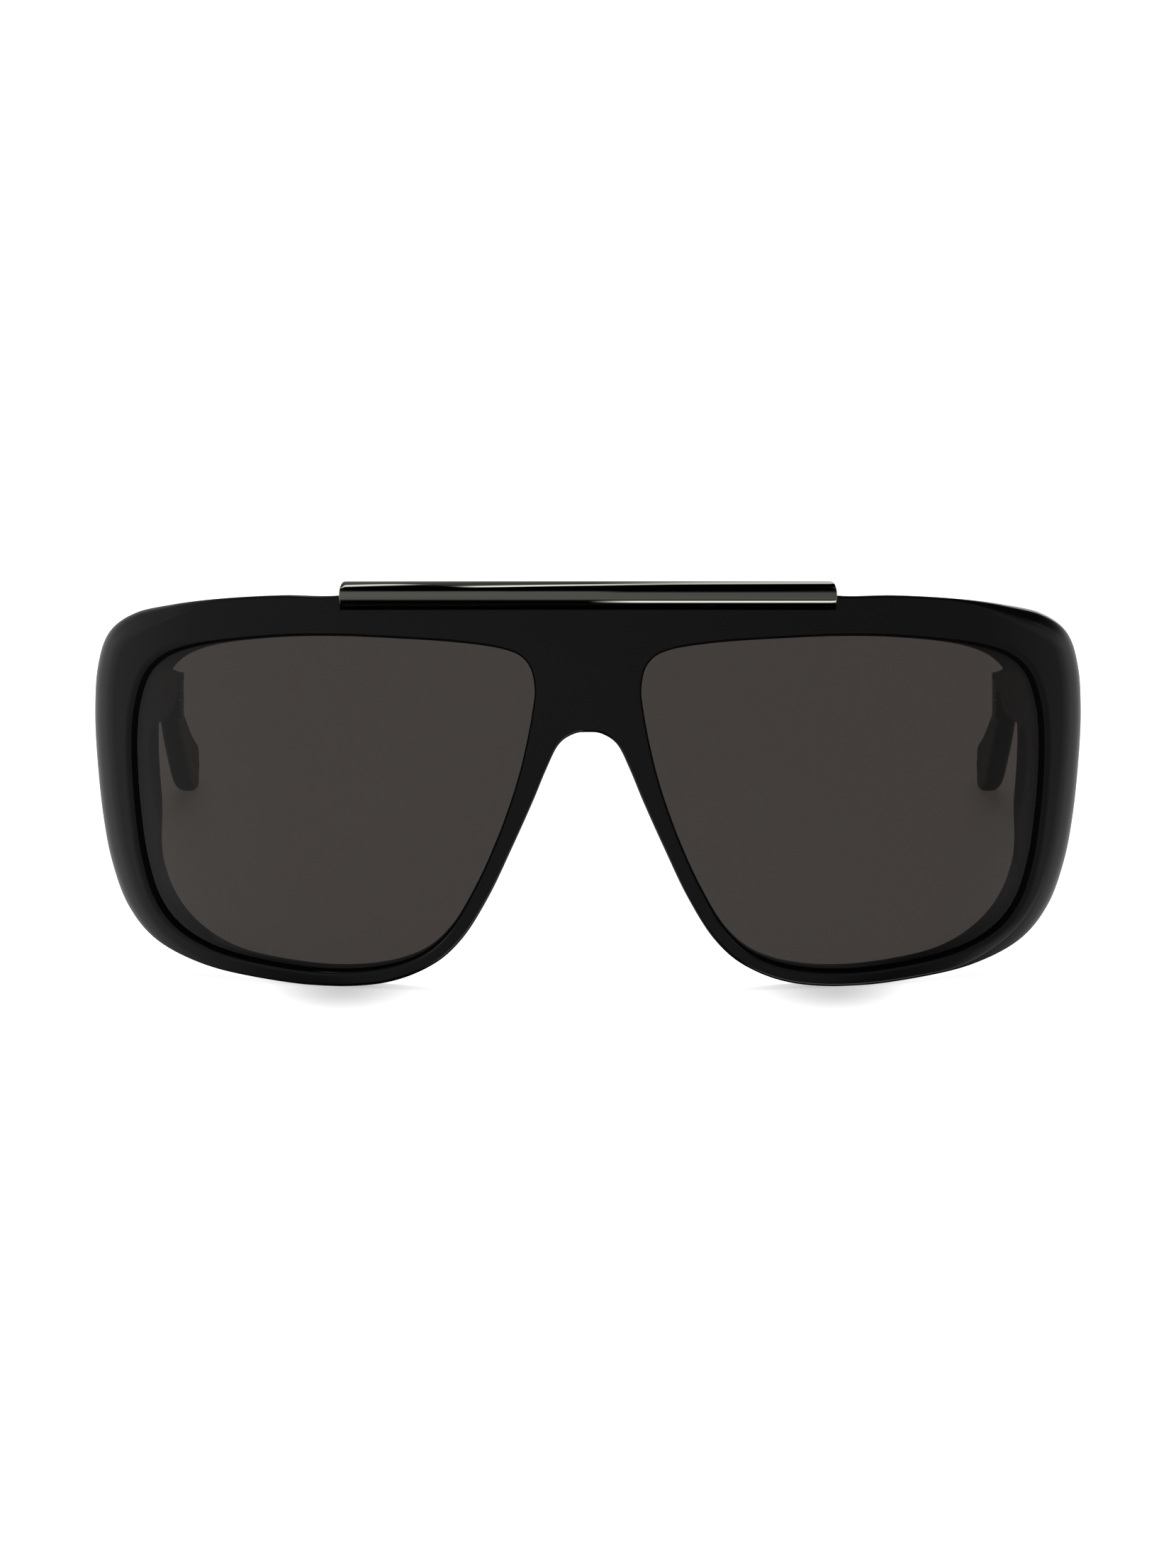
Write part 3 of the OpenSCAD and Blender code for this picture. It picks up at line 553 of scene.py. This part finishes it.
def screwCutter(side):
    angle = side * math.asin(screwSeat["x"] / bar["curve"])
    along, up = np.array([math.cos(angle), math.sin(angle), 0]), np.array([0, 0, 1])
    points = []
    for depth in (screwSeat["back"] - screwSeat["headDepth"], screwSeat["back"] + screwSeat["past"]):
        centre = np.array(barPoint(angle, bar["curve"] - depth, -screwSeat["drop"]))
        for k in range(screwSeat["around"]):
            a = 2 * math.pi * k / screwSeat["around"]
            points.append(centre + (along * math.cos(a) + up * math.sin(a)) * screwSeat["headDiameter"] / 2)
    return addCutter(points, tubeFaces(2, screwSeat["around"]))


def leafCutter(side):
    start = hingeSpot["x"] + leafSeat["in"]
    xs = [side * (start - leafSeat["gap"]), side * (start + leafSeat["width"] + leafSeat["gap"])]
    half = leafSeat["height"] / 2 + leafSeat["gap"]
    return blockCutter(xs, (front["endDepth"] - leafSeat["thick"], front["endDepth"] + leafSeat["past"]),
                       (hingeSpot["z"] - half, hingeSpot["z"] + half))


carve(frontPiece, [cutter(side) for cutter in (screwCutter, leafCutter) for side in (-1, 1)])
print("front made:", len(frontPiece.data.polygons), "faces")

# the brow bar: a curved rod, its ends cut slanting back and broken by a small bevel
barRadius = bar["diameter"] / 2
halfLength = math.asin(bar["length"] / 2 / bar["curve"]) * bar["curve"]
profile = [(halfLength - bar["edge"] * (1 - math.sin(a)), barRadius - bar["edge"] * (1 - math.cos(a)))
           for a in turns(0, 90, bar["endTurns"])]
straight = [(profile[0][0] * k / bar["along"], barRadius) for k in range(1 - bar["along"], bar["along"])]
rows = [(-s, r) for s, r in reversed(profile)] + straight + profile
barPoints = []
for s, r in rows:
    share = max(0, abs(s) - bar["slantFrom"]) / (profile[-1][0] - bar["slantFrom"])
    slant = math.tan(math.radians(bar["endSlant"])) * share
    for k in range(bar["around"]):
        a = 2 * math.pi * k / bar["around"]
        cut = (barRadius - r * math.cos(a)) * slant
        angle = math.copysign(abs(s) - cut, s) / bar["curve"]
        barPoints.append(barPoint(angle, bar["curve"] + r * math.cos(a), r * math.sin(a)))
addPiece("brow_rod", barPoints, tubeFaces(len(rows), bar["around"]), "front", plated, "brow_bar")

# the lenses: two domes, one behind the other, in rings from a small hub out to the groove
lensMiddle = np.array([lensX + front["lensWidth"] / 2,
                       front["rimHeight"] + front["lensHeight"] * lens["middle"]])
lensRim = []
for i in range(stationCount * lens["perStation"]):
    p, o = onOpening(i / lens["perStation"])
    lensRim.append(p + o * lens["reach"])
lensRim = np.array(lensRim)
hub = lens["hub"]
sizes = [math.sin(math.pi / 2 * (k + hub) / (lens["rings"] + hub)) for k in range(lens["rings"] + 1)]
sheets = [behind(lensMiddle + (lensRim - lensMiddle) * size, np.full(len(lensRim), depth))
          for depth, order in ((lens["setBack"], sizes), (lens["setBack"] + lens["thick"], sizes[::-1]))
          for size in order]
for name, side in bothSides:
    addPiece("sun_lens_" + name, np.concatenate(sheets) * (side, 1, 1), tubeFaces(len(sheets), len(lensRim)),
             "front", tinted, "lens_" + name)
print("bar and lenses made")

# nose pads: low crowned forms on the back of the rims beside the nose
pad = {
    "first": 22.2, "last": 26.6, "rows": 44, "columns": 22, "inset": 0.18, "width": 0.64, "height": 4.2,
    "edge": 0.25, "gap": 0.03, "crownLong": 0.7, "crownWide": 0.6, "flare": 0.3, "sharp": 50,
}


def crown(i, count, power):
    return max(0, math.sin(math.pi * i / count)) ** power


for name, side in bothSides:
    padPoints = []
    for top in (0, 1):
        for i in range(pad["rows"] + 1):
            t = pad["first"] + (pad["last"] - pad["first"]) * i / pad["rows"]
            a, b = onOpening(t)[0], onRim(t)[0]
            for j in range(pad["columns"] + 1):
                p = a + (b - a) * (pad["inset"] + pad["width"] * j / pad["columns"])
                rise = crown(i, pad["rows"], pad["crownLong"]) * crown(j, pad["columns"], pad["crownWide"])
                h = top * (pad["edge"] + (pad["height"] - pad["edge"]) * rise)
                at = behind(p, float(thickness(p)) + pad["gap"] + h)
                padPoints.append(at + np.array([pad["flare"] * h, 0, 0]))
    n, size = pad["columns"] + 1, (pad["rows"] + 1) * (pad["columns"] + 1)
    faces = []
    for i in range(pad["rows"]):
        for j in range(pad["columns"]):
            quad = (i * n + j, (i + 1) * n + j, (i + 1) * n + j + 1, i * n + j + 1)
            faces += [quad, tuple(size + v for v in reversed(quad))]
    loop = list(range(n)) + [i * n + n - 1 for i in range(1, pad["rows"] + 1)]
    loop += [pad["rows"] * n + j for j in range(n - 2, -1, -1)]
    loop += [i * n for i in range(pad["rows"] - 1, 0, -1)]
    faces += [(v, w, size + w, size + v) for v, w in zip(loop, loop[1:] + loop[:1])]
    addPiece("pad_" + name, np.array(padPoints) * (side, 1, 1), faces,
             "front", acetate, "nose_pad_" + name, pad["sharp"])

# the temples: one tapering form each, from the butt end to the rounded tip
temple = {
    "inner": 64.4, "thick": 3.7, "bow": 3.7, "bowFrom": 70, "bowLength": 65, "round": 1.3, "flat": 0.05,
    "around": 9, "perStation": 8,
    # how far each station lies behind the hinge, and its lower and upper edge
    "side": [
        (-1.6, 40.05, 47.75), (10, 40.05, 47.75), (22, 40.05, 47.75), (30, 40.35, 47.2), (38, 41.1, 46.4),
        (46, 42.05, 45.65), (54, 42.55, 45.4), (64, 42.55, 45.4), (74, 42.55, 45.5), (84, 42.45, 45.3),
        (90, 41.9, 44.75), (96, 40.9, 44.05), (102, 38.7, 43.1), (108, 35.95, 42), (115, 32.8, 40.25),
        (121, 30.2, 38.7), (127, 29.3, 37.5), (131.5, 29.9, 36.6), (134.2, 31.4, 35.4), (135, 32.9, 34.1),
    ],
    # by how much the thickness changes, and from where to where: the waist, the paddle and the tip's end
    "changes": [(-0.7, 15, 55), (0.3, 85, 110), (-1.4, 128, 135)],
}
templeSeat = {"before": 0.1, "length": 10, "thick": 1.0, "height": 5.4, "gap": 0.05, "past": 1}
sidePoints = np.array(temple["side"])


def templeRing(t):
    last = len(sidePoints) - 1
    v = spline(lambda i: sidePoints[min(max(i, 0), last)], t)[0] if t < last else sidePoints[last]
    s, h = v[0], v[2] - v[1]
    w = temple["thick"]
    for change, start, end in temple["changes"]:
        w += change * ease(start, end, s)
    r = min(min(w, h) / 2 - temple["flat"], temple["round"])
    bow = temple["bow"] * max(0, (s - temple["bowFrom"]) / temple["bowLength"]) ** 2
    x = temple["inner"] + temple["thick"] / 2 - bow
    y = max(s, sidePoints[0][0]) + hingeSpot["y"]
    ring = []
    for corner in range(4):
        cx = (w / 2 - r) * (1 if corner in (0, 3) else -1)
        cz = (h / 2 - r) * (1 if corner < 2 else -1)
        for k in range(temple["around"]):
            a = math.radians(90 * corner + 90 * k / (temple["around"] - 1))
            ring.append((x + cx + r * math.cos(a), y, (v[1] + v[2]) / 2 + cz + r * math.sin(a)))
    return ring


ringTimes = [i / temple["perStation"] for i in range((len(sidePoints) - 1) * temple["perStation"] + 1)]
templeRings = np.array([templeRing(t) for t in ringTimes])
for name, side in bothSides:
    piece = addPiece("acetate_temple_" + name, templeRings.reshape(-1, 3) * (side, 1, 1),
                     tubeFaces(*templeRings.shape[:2]),
                     "temple_" + name, acetate, "temple_" + name)
    gap, start = templeSeat["gap"], hingeSpot["y"] - templeSeat["before"]
    xs = [side * (temple["inner"] + reach) for reach in (-templeSeat["past"], templeSeat["thick"] + gap)]
    half = templeSeat["height"] / 2 + gap
    carve(piece, [blockCutter(xs, (start - gap, start + templeSeat["length"] + gap),
                              (hingeSpot["z"] - half, hingeSpot["z"] + half))])
print("temples made")

# the steel pieces keep their solids
for node in frame["nodes"]:
    if node.startswith(("bar_screw", "hinge_", "temple_core")):
        for holder in frame["nodes"][node].material_slots:
            holder.material = steel
print("steel pieces finished")

# studio: a white floor lit from above and behind, with a painted shadow under each rim, and the light and
# dark cards that the gloss reflects
studio = {
    # the floor's glow washes out the real shadows, and a lower glow inside the painted shadow oval under each
    # rim lets them show there
    "floorMetres": 16.0, "floor": "#acacac", "floorRough": 0.9, "floorGlow": 0.95, "paintedShadowGlow": 0.41,
    # the painted shadow, an oval under each rim, in millimetres: its middle across, and from where to where
    # the glow comes back
    "footX": 36.8, "paintedShadowAcross": (0.6, 16.6), "paintedShadowAlong": (-5, -31),
    "overhead": 4.4, "overheadSpread": 44.0, "overheadTilt": -16,
    "surround": 0.2, "background": 1.25, "cards": 1.6,
    # levels of the cards by degrees: first from the camera upwards (behind is 180), then sideways from it
    "upLeft": [(-180, 0.02), (-60, 0), (-41.5, 0.01), (-38, 0.115), (-30, 0.12), (27, 0.125), (33, 0.02),
               (38, 0), (113.5, 0), (119, 1.4), (122, 1.4), (126, 0.06), (140, 0.08), (170, 0.2), (180, 0.2)],
    "upMiddle": [(-180, 0.02), (-60, 0), (-41.5, 0.01), (-38, 0.115), (-30, 0.12), (25, 0.125), (32, 0.02),
                 (38, 0), (83, 0), (87, 1.4), (95, 1.4), (100, 0.07), (120, 0.05), (140, 0.13), (180, 0.2)],
    "upRight": [(-180, 0.0), (-76, 0), (-67, 0.1), (-64, 1.4), (-51.5, 1.4), (-48.5, 0.01), (-42, 0.01),
                (-38.5, 0.115), (16, 0.12), (24, 0.02), (34, 0), (86, 0), (92, 0.8), (130, 0.7), (180, 0.2)],
    "outLeft": [(0, 0.125), (30, 0.15), (40, 0.18), (50, 0.27), (60, 0.36), (90, 0.6), (140, 0.5),
                (180, 0.15)],
    "outRight": [(0, 0.12), (20, 0.1), (40, 0.09), (50, 0.15), (60, 0.23), (90, 0.5), (140, 0.5),
                 (180, 0.15)],
    # smooth steps by direction, each from where to where and up to what: between the cards, and their slant
    "toMiddle": (-0.135, -0.1, 1.0), "toRight": (0.0, 0.06, 1.0), "toSides": (0.35, 1.2, 1.0),
    "slant": (0.8, 1.3, -3.0),
    # a dark flag stands high on the right, and a paler one high on the left
    "flagRight": (0.28, 0.45, 1.0), "flagLeft": (-0.28, -0.45, 0.4), "flagUp": (0.22, 0.75, 1.0),
    "flagAhead": (-1.0, -0.7, 1.0),
}
floorMesh = bpy.data.meshes.new("floor")
reach = studio["floorMetres"] / 2
floorMesh.from_pydata([(-reach, -reach, 0), (reach, -reach, 0), (reach, reach, 0), (-reach, reach, 0)],
                      [], [(0, 1, 2, 3)])
floor = bpy.data.objects.new("floor", floorMesh)
bpy.context.collection.objects.link(floor)
paper, tree, place = startMaterial("mattPaperPaintedShadow")
# painted shadow: the table glows, washing out the real shadows, and glows less in an oval under each rim; the
# small soft shadow there is the real one, shaped and deepened by the painted oval
foot = toWorld([(studio["footX"], float(domeDepth(np.array([studio["footX"], 0.0]))), 0)])[0]
onFloor = addNode(tree, "ShaderNodeSeparateXYZ", links={0: place}).outputs
fromMiddle = addNode(tree, "ShaderNodeMath", links={0: onFloor[0]}, operation="ABSOLUTE").outputs[0]
paintedShadowAxes = []
for value, at, name in ((fromMiddle, foot[0], "paintedShadowAcross"), (onFloor[1], foot[1], "paintedShadowAlong")):
    start, end = studio[name]
    axis = addNode(tree, "ShaderNodeMapRange", {"From Min": at + start / 1000, "From Max": at + end / 1000},
                   {"Value": value}, clamp=False)
    paintedShadowAxes.append(axis.outputs[0])
paintedShadowOval = addNode(tree, "ShaderNodeCombineXYZ", links={0: paintedShadowAxes[0], 1: paintedShadowAxes[1]})
away = addNode(tree, "ShaderNodeVectorMath", links={0: paintedShadowOval.outputs[0]}, operation="LENGTH").outputs["Value"]
# the glow is lowest in the middle of each painted shadow oval
floorGlowWithPaintedShadow = addNode(tree, "ShaderNodeMapRange",
                    {"To Min": studio["paintedShadowGlow"], "To Max": studio["floorGlow"]},
                    {"Value": away}, interpolation_type="SMOOTHSTEP")
shader = addNode(tree, "ShaderNodeBsdfPrincipled",
                 {"Base Color": toLinear(studio["floor"]), "Roughness": studio["floorRough"],
                  "Specular IOR Level": 0.0, "Emission Color": (1, 1, 1, 1)},
                 {"Emission Strength": floorGlowWithPaintedShadow.outputs[0]})
endMaterial(tree, shader)
floorMesh.materials.append(paper)
floor.visible_glossy = False  # keeps the pale floor out of the dark pieces' gloss

overhead = bpy.data.lights.new("overhead", "SUN")
overhead.energy = studio["overhead"]
overhead.angle = math.radians(studio["overheadSpread"])
overheadLamp = bpy.data.objects.new("overhead", overhead)
overheadLamp.rotation_euler = (math.radians(studio["overheadTilt"]), 0, 0)
overheadLamp.visible_glossy = False
bpy.context.collection.objects.link(overheadLamp)

world = bpy.data.worlds.new("studio")
bpy.context.scene.world = world
world.use_nodes = True
tree = world.node_tree
tree.nodes.clear()
direction = addNode(tree, "ShaderNodeTexCoord").outputs["Generated"]
leaned = addNode(tree, "ShaderNodeVectorRotate", {"Angle": lean}, {"Vector": direction},
                 rotation_type="X_AXIS")
across, back, above = addNode(tree, "ShaderNodeSeparateXYZ", links={0: leaned.outputs[0]}).outputs
ahead = addNode(tree, "ShaderNodeMath", {1: -1}, {0: back}, operation="MULTIPLY").outputs[0]
aside = addNode(tree, "ShaderNodeMath", links={0: across}, operation="ABSOLUTE").outputs[0]
height = addNode(tree, "ShaderNodeMath", links={0: above}, operation="ABSOLUTE").outputs[0]
lie = addNode(tree, "ShaderNodeMath", links={0: aside, 1: height}, operation="ARCTAN2").outputs[0]
rise = addNode(tree, "ShaderNodeMath", links={0: above, 1: ahead}, operation="ARCTAN2").outputs[0]
steps = {}
for name, value in (("toMiddle", across), ("toRight", across), ("toSides", lie), ("slant", rise),
                    ("flagRight", across), ("flagLeft", across), ("flagUp", above), ("flagAhead", ahead)):
    start, end, top = studio[name]
    smoothStep = addNode(tree, "ShaderNodeMapRange", {"From Min": start, "From Max": end, "To Max": top},
                         {"Value": value}, interpolation_type="SMOOTHSTEP")
    steps[name] = smoothStep.outputs[0]
upwards = addNode(tree, "ShaderNodeMath", links={0: across, 1: steps["slant"], 2: rise},
                  operation="MULTIPLY_ADD")
sideways = addNode(tree, "ShaderNodeMath", links={0: aside, 1: ahead}, operation="ARCTAN2")
cards = {}
for name, angle in (("upLeft", upwards), ("upMiddle", upwards), ("upRight", upwards),
                    ("outLeft", sideways), ("outRight", sideways)):
    share = addNode(tree, "ShaderNodeMapRange", {"From Min": -math.pi, "From Max": math.pi},
                    {"Value": angle.outputs[0]})
    ramp = addNode(tree, "ShaderNodeValToRGB", links={"Fac": share.outputs[0]})
    stops = ramp.color_ramp.elements
    while len(stops) > 1:
        stops.remove(stops[-1])
    for k, (degrees, level) in enumerate(studio[name]):
        stop = stops[0] if k == 0 else stops.new((degrees + 180) / 360)
        stop.position = (degrees + 180) / 360
        stop.color = (level, level, level, 1)
    cards[name] = ramp.outputs[0]
for name, share, first, second in (
        ("upper", "toMiddle", "upLeft", "upMiddle"), ("up", "toRight", "upper", "upRight"),
        ("out", "toRight", "outLeft", "outRight"), ("all", "toSides", "up", "out")):
    mixed = addNode(tree, "ShaderNodeMix", data_type="RGBA",
                    links={"Factor": steps[share], "A": cards[first], "B": cards[second]})
    cards[name] = mixed.outputs["Result"]

# the cards show in a first reflection and not in a second one, and not past the flags
path = addNode(tree, "ShaderNodeLightPath").outputs
once = addNode(tree, "ShaderNodeMath", {1: 1.5}, {0: path["Glossy Depth"]}, operation="LESS_THAN").outputs[0]
flags = addNode(tree, "ShaderNodeMath", links={0: steps["flagRight"], 1: steps["flagLeft"]}, operation="ADD")
for name in ("flagUp", "flagAhead"):
    flags = addNode(tree, "ShaderNodeMath", links={0: flags.outputs[0], 1: steps[name]}, operation="MULTIPLY")
past = addNode(tree, "ShaderNodeMath", {0: 1.0}, {1: flags.outputs[0]}, operation="SUBTRACT").outputs[0]
shown = addNode(tree, "ShaderNodeMath", links={0: past, 1: once}, operation="MULTIPLY").outputs[0]
strength = addNode(tree, "ShaderNodeMath", {1: studio["cards"]}, {0: shown}, operation="MULTIPLY")
glow = addNode(tree, "ShaderNodeBackground", links={"Color": cards["all"], "Strength": strength.outputs[0]})
plain = addNode(tree, "ShaderNodeBackground", {"Color": (1, 1, 1, 1), "Strength": studio["surround"]})
white = addNode(tree, "ShaderNodeBackground", {"Color": (1, 1, 1, 1), "Strength": studio["background"]})
seen = addNode(tree, "ShaderNodeMath", links={0: path["Is Camera Ray"], 1: path["Is Transmission Ray"]},
               operation="MAXIMUM")
light = plain
for share, shader in ((path["Is Glossy Ray"], glow), (seen.outputs[0], white)):
    light = addNode(tree, "ShaderNodeMixShader", links={0: share, 1: light.outputs[0], 2: shader.outputs[0]})
addNode(tree, "ShaderNodeOutputWorld", links={"Surface": light.outputs[0]})

# camera: square to the front, far enough that the outlines keep their true sizes
view = {"distance": 3000.0, "frameHeight": 235.4, "aimHeight": 30.43, "sensor": 36, "clipMetres": 50}
camera = bpy.data.cameras.new("camera")
camera.sensor_width = view["sensor"]
camera.lens = view["sensor"] * view["distance"] / view["frameHeight"]
camera.clip_end = view["clipMetres"]
cameraObject = bpy.data.objects.new("camera", camera)
aim = Vector(toWorld([(0, 0, view["aimHeight"])])[0])
eye = Vector(toWorld([(0, -view["distance"], view["aimHeight"])])[0])
cameraObject.location = eye
cameraObject.rotation_euler = (aim - eye).to_track_quat("-Z", "Y").to_euler()
bpy.context.collection.objects.link(cameraObject)
bpy.context.scene.camera = cameraObject
bpy.context.scene.view_settings.view_transform = "Standard"
print("studio ready")
